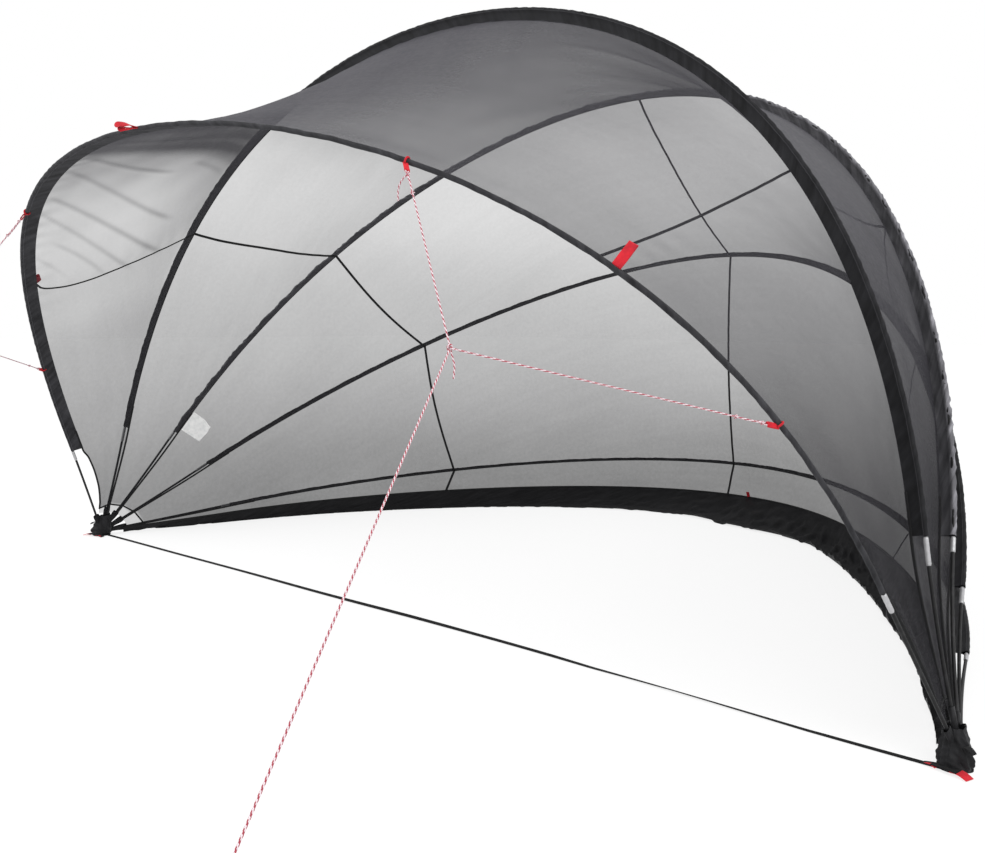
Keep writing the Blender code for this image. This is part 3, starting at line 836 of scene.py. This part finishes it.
def build_panel(key):
    """The panel between two sleeves, its cross seams and the tape at each foot."""
    strip = STRIPS[key]
    nodes = [f"panel_{key}_{q}" for q in (("left", "right") if key == "de" else QUARTERS)]
    obj, points = cloth_grid(strip, "cloth_" + key, *((601, 91) if key == "ab" else (421, 57)))
    ride_on(obj, {"ab": FRONT_NET, "bc": ROOF_NET}.get(key, NET), nodes)
    s = np.linspace(0.0, 1.0, 61)
    tapes = [tape(f"seam_{key}_{side}", strip, seam_line(key, side, s), s,
                  FRONT_TAPE if key == "ab" else SEAM_TAPE)
             for side in SEAMS if side != "middle" or key in ("cd", "de")]
    low = np.interp(s, [0, 1], strip.hem)
    tapes += [tape(f"hem_{key}_{side}", strip, u, s, HEM_TAPE, 0.0, 0.003)
              for side, u in (("left", low), ("right", LAST - low))]
    round(flat_area(points), 2)


def low_strip(key, mat, columns, trim):
    """The wall or the skirt, with the pieces that trim(strip) sews on it."""
    strip = STRIPS[key]
    obj, points = cloth_grid(strip, "cloth_" + key, 561, columns)
    ride_on(obj, mat, [key + "_left", key + "_right"])
    area, length = flat_area(points), float(strip.run[-1])
    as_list(trim(strip))


def wall_seams(strip):
    across = np.linspace(0, 1, 15)
    return [tape(f"seam_wall_{side}", strip, np.full_like(across, k), across, WALL_TAPE)
            for side, k in SEAMS.items()]


def skirt_trim(strip):
    u = np.linspace(0, LAST, 401)
    band = tape("seam_skirt_top", strip, u, np.zeros_like(u), SEAM_TAPE, -0.001, 0.0016)
    mark = strip.place(np.full(12, 17.9), np.zeros(12))
    mark = mark + np.linspace(0, 1, 12)[:, None] * [0.004, -0.030, 0.042]
    red = Soup().ribbon(mark, [0.9, 0.43, 0.0], [-0.4, 0.8, 0.4], 0.011, 0.0022)
    return [band, red.ride("skirt_red_tag", RED, "red")]


# Sleeves and poles

# How strongly each sleeve is ruched
RUCHED_BY = {"a": 0.6, "b": 1.0, "c": 2.6, "d": 1.0, "e": 0.7}


def build_sleeve(key, arch):
    """Cloth folded over the pole, both layers meeting in the flat fin at the panels' edge."""
    ruched = RUCHED_BY[key]
    radius = FRONT_SLEEVE_R if key == "a" else SLEEVE_R
    tip = arch.fin + 0.003
    arc = np.radians(np.linspace(-125, 125, 15))
    fin = np.linspace(1.0, 0.22, 7)
    fin_q = 1.3 * radius + (tip - 1.3 * radius) * (fin - 0.22) / 0.78
    fin_p = 0.0016 + 0.0030 * (1 - (fin - 0.22) / 0.78) ** 2
    p = np.concatenate([-fin_p, np.sin(arc) * radius, fin_p[::-1]])
    q = np.concatenate([fin_q, -np.cos(arc) * radius, fin_q[::-1]])
    lay = np.concatenate([[0], np.cumsum(np.hypot(np.diff(p), np.diff(q)))])
    lay -= lay[-1] / 2
    u = np.linspace(SLEEVE_AT, LAST - SLEEVE_AT, 640)
    t = station(arch, u)
    point, across, inward = fin_axes(arch, t)
    run = along_arch(arch, np.degrees(t))[:, None]
    seed = 40 + ord(key)
    free = smooth(np.abs(lay), 0.0, 0.02) * (1 - smooth(q, arch.fin * 0.75, arch.fin))
    slant = 0.0009 * ruched * (np.sin(TURN * (run / 0.058 + lay / 0.05)
                                      + 3 * waves(run, 0, 0.4, seed))
                               * (0.6 + 0.4 * waves(run, lay, 0.3, seed + 1)))
    small = 0.0007 * ruched * waves(run, 2.0 * lay, 0.018, seed + 2)
    wave = 0.0022 * ruched * free * np.sin(TURN * run / 0.21 + 2 * waves(
        run, 0, 0.6, seed + 3))
    swell = (slant + small) / SLEEVE_R
    rounded = smooth(-q, -1.3 * SLEEVE_R, 0.3 * SLEEVE_R)
    pp = p * (1 + swell * (0.35 + 0.65 * rounded)) + wave
    qq = q * (1 + swell * rounded)
    grid = point[:, None] + across[:, None] * pp[..., None] + inward[:, None] * qq[..., None]
    mat = {"a": FRONT_SLEEVE, "c": RUCHED}.get(key, SLEEVE)
    obj = Soup().grid(grid, pairs(run, lay)).ride(
        "sleeve_cloth_" + key, mat, "sleeve", ["sleeve_" + key])
    for side, first, last in (("left", 0.0, 2.6), ("right", LAST - 2.6, float(LAST))):
        v = np.linspace(first, last, 60)
        if key == "a":
            start = STRIPS["ab"].hem[0]
            line = resample(STRIPS["ab"].place(np.clip(v, start, LAST - start), 0), 0.012)
        else:
            line = seam_point(arch, v)
        Soup().tube(line, 0.0055, 8).ride(f"piping_{key}_{side}", TAPE, "sleeve")


# How far each ferrule shows below its sleeve, in metres
FERRULES = {"a": 0.070, "b": 0.096, "c": 0.062, "d": 0.088, "e": 0.064}
# Its radius from end to end, as a share of FERRULE_R
FERRULE_FLARE = np.array([0.82] + [1.0] * 4 + [1.02, 0.97, 0.97, 1.02] + [1.0] * 4 + [0.82])


def build_pole(key, arch):
    start = float(angle_at_radius(arch, POCKET_MOUTH - 0.05))
    t = np.linspace(start, math.pi - start, 260)
    Soup().tube(arch_point(arch, t), POLE_R, 12).ride("rod_" + key, FIBRE, "pole", ["pole_" + key])
    mouth, step = math.radians(arch.sleeve), 0.01
    speed = float(norm(arch_point(arch, mouth + step) - arch_point(arch, mouth - step))) / (2 * step)
    t = np.linspace(mouth - FERRULES[key] / speed, mouth - 0.004 / speed, len(FERRULE_FLARE))
    for side, angles in (("left", t), ("right", math.pi - t)):
        Soup().tube(arch_point(arch, angles), FERRULE_R * FERRULE_FLARE, 16).ride(
            f"ferrule_{key}_{side}", FERRULE, "steel")


# Feet

def build_pad(name, side, hub):
    """The crumpled pad on the ground."""
    turn = np.linspace(0, TURN, 121)
    ring = pairs(np.cos(turn), np.sin(turn))
    reach = 0.050 * (1 + 0.10 * waves(ring[:, 0], ring[:, 1], 0.9, 60 + side))
    level = np.array([0.0, 0.35, 0.6, 0.8, 0.93, 1.0, 1.0])
    flat = level[:, None, None] * (ring * reach[:, None])[None]
    rise = 0.0045 + 0.0035 * np.abs(waves(flat[..., 0], flat[..., 1], 0.03, 62 + side))
    rise[-1] = GROUND_GAP
    points = np.concatenate([flat + hub[:2] - [side * 0.020, 0.012], rise[..., None]], -1)
    return Soup().grid(points[:, :-1], flat, closed=True).ride(name + "_pad", BLACK, "webbing", [name])


def build_boot(name, side, hub):
    """The bunched cloth round the pole ends, and the area of its cloth."""
    high, turn = np.meshgrid(np.linspace(0, 1, 36), np.linspace(0, TURN, 121), indexing="ij")
    x, y = 0.06 * np.cos(turn), 0.06 * np.sin(turn)
    radius = np.interp(high, *BOOT_RADIUS)
    ridges = 0.5 - np.abs(waves(x + 0.02 * high, y + 0.03 * high, 0.040, 77 + side))
    creases = waves(x, y + 0.16 * high, 0.018, 81 + side)
    radius = radius * (1 + 0.20 * ridges * smooth(high, -0.1, 0.25) + 0.05 * creases)
    z = 0.003 + 0.122 * high + 0.006 * waves(x, y, 0.04, 85) * high
    points = np.stack([hub[0] - side * (0.014 + 0.016 * high) + radius * np.cos(turn),
                       -0.012 + 0.020 * high + 1.05 * radius * np.sin(turn), z], -1)
    soup = Soup().grid(points[:, :-1], pairs(z, turn * 0.05), closed=True)
    return soup.ride(name + "_boot", FOOT, "skirt"), flat_area(points)


def build_pocket(name, side, key, arch):
    """The crumpled cloth pocket of one pole end."""
    t = angle_at_radius(arch, np.linspace(0.020, POCKET_TOPS[key], 26))
    centre, _, outward, rear = arch_frame(arch, t if side < 0 else math.pi - t)
    share = np.linspace(0, 1, len(t))[:, None]
    around = np.linspace(0, TURN, 25)
    wide = np.interp(share, [0, 0.3, 0.85, 1.0], [0.011, 0.014, 0.019, 0.0185])
    deep = np.interp(share, [0, 0.2, 0.75, 1.0], [0.008, 0.0100, 0.0092, 0.0088])
    crumple = 1 + 0.06 * np.sin(4 * around + 11 * share) + 0.04 * np.sin(7 * around - 5 * share)
    grid = (centre[:, None] + rear[:, None] * (wide * crumple * np.cos(around))[..., None]
            + outward[:, None] * (deep * crumple * np.sin(around))[..., None])
    grid[..., 2] = np.maximum(grid[..., 2], 0.003)
    uv = pairs(share * 0.155, around * 0.012)
    return Soup().grid(grid[:, :-1], uv, closed=True).ride(f"{name}_pocket_{key}", FOOT, "webbing")


def build_band(name, side, hub, label, mat, first, last, half, heights):
    """A short flat end of webbing on the ground, between two points beside the hub."""
    share = np.linspace(0, 1, 18)[:, None]
    ends = np.array([[side * x, y, z] for (x, y), z in zip((first, last), heights)])
    centre = ends[:1] * (1 - share) + ends[1:] * share + [hub[0], 0, 0]
    centre[:, 2] += 0.005 * np.sin(math.pi * share[:, 0])
    along = unit(ends[1] - ends[0])
    over = unit(np.cross([0, 0, 1.0], along))
    band = Soup().ribbon(centre, over, np.cross(along, over), np.interp(share, [0, 1], half), 0.0024)
    return band.ride(f"{name}_{label}", mat, "red" if mat is RED else "webbing")


# The boot's radius by height, where each pocket ends from the hub, and the webbing's ends:
# two points beside the hub, the half widths and the heights there, in metres
BOOT_RADIUS = ((0, 0.12, 0.35, 0.6, 0.82, 1.0), (0.048, 0.055, 0.053, 0.045, 0.037, 0.034))
POCKET_TOPS = {"a": 0.128, "b": 0.165, "c": 0.150, "d": 0.145, "e": 0.150}
FOOT_BANDS = (
    ("red_tag_1", RED, (-0.008, -0.062), (0.046, -0.084), (0.022, 0.018), (0.010, 0.004)),
    ("red_tag_2", RED, (-0.058, -0.066), (-0.104, -0.052), (0.009, 0.002), (0.007, 0.003)),
    ("tab", BLACK, (0.010, -0.072), (-0.104, -0.048), (0.019, 0.013), (0.014, 0.004)),
    ("tail", BLACK, (0.016, -0.030), (0.044, -0.040), (0.014, 0.013), (0.080, 0.066)))


def build_foot(name, side):
    hub = np.array([side * HALF_SPAN, 0.0, HUB_Z])
    pieces = [build_pad(name, side, hub)]
    boot, area = build_boot(name, side, hub)
    pieces += [build_pocket(name, side, key, arch) for key, arch in ARCHES.items()]
    pieces += [build_band(name, side, hub, *band) for band in FOOT_BANDS]


# How far the strap is rolled about its length, in degrees, by its place from foot to foot
STRAP_ROLL = ((-2.5, 9), (-1.2, 10), (-0.5, 17), (0.0, 25), (0.2, 25), (0.6, 15), (1.0, 11), (1.2, 1),
              (1.4, -9), (1.6, -16), (1.75, -14), (1.95, -8), (2.2, 3), (2.5, 8))


def build_strap():
    reach = HALF_SPAN - 0.02
    x = np.linspace(-reach, reach, 260)
    y = 0.004 * waves(x, 0, 0.9, 90) - 0.050 * smooth(x, 0.6, 2.7)
    centre = np.stack([x, y, np.full_like(x, 0.0024)], -1)
    roll = np.radians(np.interp(x, *zip(*STRAP_ROLL)))
    side = np.stack([0 * x, np.cos(roll), np.sin(roll)], -1)
    normal = np.stack([0 * x, -np.sin(roll), np.cos(roll)], -1)
    centre[:, 2] += np.abs(np.sin(roll)) * STRAP_WIDTH / 2
    Soup().ribbon(centre, side, normal, 0.0092, 0.0019).ride(
        "strap", BLACK, "webbing", ["ground_strap"])


# Guys, tags, loops and pegs

def front_frame(angle):
    """What arch_frame gives for one place on the front arch, by its angle in degrees."""
    return (v[0] for v in arch_frame(ARCHES["a"], np.array([math.radians(angle)])))


def tag_frame(angle, toward):
    """Root on the front sleeve, the way the tag points, and the sleeve's own direction."""
    point, tangent, _, _ = front_frame(angle)
    along = unit(toward - point)
    square = unit(along - tangent * along.dot(tangent))
    return point, tangent, along, square


def folded_tape(name, stands_for, root, along, tangent, length, width, gap, curl=0.0, twist=0.0):
    """Webbing folded back on itself, both ends on the sleeve and a rounded bend at the tip."""
    thick = np.cross(tangent, along)
    lane = np.linspace(0, 1, 15)
    bend = np.linspace(0, math.pi, 11)[1:-1]
    out = pairs(lane * (length - gap), gap * (0.25 + 0.75 * smooth(lane, 0, 0.6)))
    tip = pairs(length - gap + gap * np.sin(bend), gap * np.cos(bend))
    path = np.concatenate([out, tip, out[::-1] * [1, -1]])
    sweep = curl * (path[:, :1] / length) ** 2
    centre = root + along * path[:, :1] + thick * (path[:, 1:] + sweep)
    step = unit(np.gradient(centre, axis=0))
    turn = twist * path[:, :1] / length
    side = np.cos(turn) * tangent + np.sin(turn) * thick
    side = unit(side - step * dot(side, step))
    Soup().ribbon(centre, side, unit(np.cross(side, step)), width / 2, 0.0017).ride(
        name, RED, "red", [stands_for])


def braid(run, turn):
    return 1 + 0.07 * np.sin(TURN * run / 0.012 + 3 * turn) * np.sin(
        TURN * run / 0.012 - 3 * turn)


def knot_path(centre, axis, size):
    """A closed overhand knot round an axis."""
    w = np.linspace(0, TURN, 90)
    side = unit(np.cross(axis, [0.2, 0.9, 0.3]))
    up = np.cross(axis, side)
    ring = np.stack([np.sin(w) + 2 * np.sin(2 * w), np.cos(w) - 2 * np.cos(2 * w),
                     -np.sin(3 * w)], -1) * size
    return centre + ring[:, :1] * side + ring[:, 1:2] * up + ring[:, 2:] * axis * 1.3


def cord(soup, points, run_scale=1.0, radius=ROPE_R * 0.95):
    soup.tube(points, radius, 12, bump=braid, run_scale=run_scale)


# How much longer the short legs' pattern is, as a share of their length
LEG_RUN = 0.65
# The rope's free end at the right guy's high tag: how far inwards and down it hangs
GUY_TAIL = ((0.018, 0.008), (0.036, 0.024), (0.044, 0.048), (0.042, 0.074))


def tie_leg(soup, label, side, height, angle, knot):
    """A short leg from the knot to its red tag, which a ring of webbing holds on the sleeve."""
    name = f"{label}_{height}"
    point, tangent, along, square = tag_frame(180 - angle if side > 0 else angle, knot)
    root = point + square * (FRONT_SLEEVE_R + 0.0006)
    turn = np.linspace(0, TURN, 41)[:-1, None]
    ring = point + (FRONT_SLEEVE_R + 0.0032) * (
        square * np.cos(turn) + np.cross(tangent, square) * np.sin(turn))
    Soup().tube(np.concatenate([ring, ring[:1]]), 0.0034, 8, caps=False).ride(
        "guy_wrap_" + name, RED, "red")
    folded_tape("guy_loop_" + name, "guy_tag_" + name, root - along * 0.004, along, tangent,
                GUY_TAG + 0.004, TAG_WIDTH * 0.8, 0.0045)
    tip = root + along * GUY_TAG
    leg = unit(knot - tip)
    drop = unit(np.cross(leg, tangent))
    eye = tip - along * 0.008
    cord(soup, resample([tip + leg * 0.012, knot]), LEG_RUN, ROPE_R)
    cord(soup, smooth_path([tip + leg * 0.014, tip + tangent * 0.006,
                            eye + tangent * 0.003 - drop * 0.002, eye - tangent * 0.004,
                            tip - tangent * 0.006 + leg * 0.004, tip + leg * 0.05 - drop * 0.004,
                            tip + leg * 0.10 - drop * 0.003]))
    for reach in (0.014, 0.098):
        soup.tube(knot_path(tip + leg * reach, leg, 0.0017), ROPE_R * 0.9, 10)
    if side > 0 and height == "high":
        start = tip + leg * 0.016
        cord(soup, smooth_path([start] + [start + [-x, 0.0, -z] for x, z in GUY_TAIL]))


def build_guy(label, side):
    knot, peg = (np.array([side * x, y, z]) for x, y, z in (KNOT, PEG))
    hook = peg + [0, 0, ROPE_ON_PEG]
    down = unit(hook - knot)
    end = hook - down * (PEG_R + 1.35 * ROPE_R)
    soup = Soup()
    cord(soup, resample([knot, end]), radius=ROPE_R)
    for height, angle in GUY_TAGS.items():
        tie_leg(soup, label, side, height, angle, knot)
    soup.tube(knot_path(knot, down, 0.0033), ROPE_R, 12, bump=braid)
    cord(soup, smooth_path([knot, knot + [0.004, 0.002, -0.018], knot + [0.010, 0.006, -0.045],
                            knot + [0.007, 0.004, -0.078]]))
    side_way = unit(np.cross(down, [0, 0, 1.0]))
    cord(soup, smooth_path([end - down * 0.05, end - down * 0.01 + side_way * 0.007,
                            hook + side_way * 0.0075 + down * 0.004, hook + down * 0.0095,
                            hook - side_way * 0.0075 + down * 0.004,
                            end - down * 0.01 - side_way * 0.007, end - down * 0.05]))
    soup.ride("rope_" + label, ROPE, "rope", ["guy_" + label])
    away = unit(np.array([down[0], down[1], 0.0]))
    bend = smooth_path([peg, peg + [0, 0, PEG_HEIGHT - 0.012], peg + [0, 0, PEG_HEIGHT],
                        peg + away * PEG_HOOK + [0, 0, PEG_HEIGHT],
                        peg + away * PEG_HOOK + [0, 0, PEG_HEIGHT - 0.014]], 0.0015)
    Soup().tube(bend, PEG_R, 14).ride("hook_" + label, STEEL, "steel", ["peg_" + label])


def build_loops():
    """The side loops lie back over the cloth, and the top one falls forwards."""
    for label, angle, up, back, length in (("left", 44, 0.10, 0.99, LOOP + 0.012),
                                           ("top", 91, 0.62, -0.78, LOOP - 0.014),
                                           ("right", 136, 0.45, 0.89, LOOP + 0.008)):
        point, tangent, outward, rear = front_frame(angle)
        along = unit(outward * up + rear * back)
        root = point + along * (0.90 * FRONT_SLEEVE_R)
        curl, twist = (0.016, 0.9) if label == "top" else (0.006, 0.25)
        folded_tape("loop_" + label, "seam_loop_" + label, root, along, tangent, length,
                    LOOP_WIDTH * 1.12, 0.0075, curl, twist)


def build_label():
    """The blank label: sewn at one edge, its free corners curling away from the net."""
    strip = Strip(ARCHES["c"], ARCHES["d"], 0.035)
    low, high, beside = (strip.base(np.array([float(u)]), np.array([s]))[0]
                         for u, s in ((SLEEVE_AT, 0.0), (SLEEVE_AT + 1, 0.0), (SLEEVE_AT, 0.2)))
    up = unit(high - low)
    over = beside - low
    over = unit(over - up * over.dot(up))
    inward = np.cross(up, over)
    inward *= np.sign(inward[0])
    root = low + up * 0.03 + over * 0.006 + inward * 0.0030
    x, y = np.meshgrid(np.linspace(0, 1, 24), np.linspace(0, 1, 22), indexing="ij")
    lift = 0.020 * x + 0.010 * x ** 2 * y ** 2 + 0.002 * np.sin(7 * y + 2 * x) * x
    corner = 0.030 * smooth(x + y, 1.5, 2.0)
    points = (root + over * (LABEL[0] * (x - 0.12 * x * (1 - y)) - corner * 0.5)[..., None]
              + up * (LABEL[1] * (y - 0.06 * x * y) - corner * 0.5)[..., None]
              + inward * lift[..., None])
    obj = Soup().grid(points, pairs(x * LABEL[0], y * LABEL[1])).ride(
        "blank_label", SATIN, "label", ["care_label"])


# Stage

def build_stage():
    made = Nodes("floor")
    cloud = made.cloud(0.8, 2.0)
    white = made.mix(cloud, (0.23, 0.23, 0.23), (0.25, 0.25, 0.25))
    made.finish(white, 0.9, Specular_IOR_Level=0.0, Emission_Color=(1, 1, 1, 1),
                Emission_Strength=0.78)
    mesh = bpy.data.meshes.new("floor")
    size = 60.0
    mesh.from_pydata([(-size, -size, 0), (size, -size, 0), (size, size, 0), (-size, size, 0)],
                     [], [(0, 1, 2, 3)])
    mesh.materials.append(made.mat)
    new_object("floor", mesh)
    world = bpy.data.worlds.new("studio")
    world.use_nodes = True
    sky = world.node_tree.nodes["Background"].inputs
    sky["Color"].default_value, sky["Strength"].default_value = (1, 1, 1, 1), 1.0
    bpy.context.scene.world = world
    bpy.context.scene.view_settings.view_transform = "Standard"
    for name, spot, aim, power, size in (
            ("key", (-4.5, -6.5, 6.5), (0, 1, 1.2), 420, 4.0),
            ("fill", (6.5, -1.0, 5.0), (0, 1, 1.0), 200, 4.0)):
        light = bpy.data.lights.new(name, "AREA")
        light.energy, light.size = power, size
        lamp = new_object(name, light)
        lamp.location = spot
        lamp.rotation_euler = (Vector(aim) - Vector(spot)).to_track_quat("-Z", "Y").to_euler()


def build_camera():
    yaw, pitch, roll = (math.radians(a) for a in (YAW, PITCH, ROLL))
    forward = Vector((-math.sin(yaw) * math.cos(pitch), math.cos(yaw) * math.cos(pitch),
                      math.sin(pitch)))
    turn = forward.to_track_quat("-Z", "Y").to_matrix() @ Matrix.Rotation(roll, 3, "Z")
    data = bpy.data.cameras.new("camera")
    data.lens, data.sensor_width = LENS, 36.0
    data.sensor_fit = "HORIZONTAL"
    data.shift_x, data.shift_y = SHIFT_X, SHIFT_Y
    data.clip_end = 200.0
    camera = new_object("camera", data)
    camera.matrix_world = Matrix.Translation(EYE) @ turn.to_4x4()
    bpy.context.scene.camera = camera


build_camera()
for panel in ("ab", "bc", "cd", "de"):
    build_panel(panel)
low_strip("wall", WALL_NET, 13, wall_seams)
low_strip("skirt", SKIRT, 41, skirt_trim)
for arch_key, arch_line in ARCHES.items():
    build_sleeve(arch_key, arch_line)
    build_pole(arch_key, arch_line)
build_foot("foot_left", -1)
build_foot("foot_right", 1)
build_strap()
build_guy("left", -1)
build_guy("right", 1)
build_loops()
build_label()
build_stage()
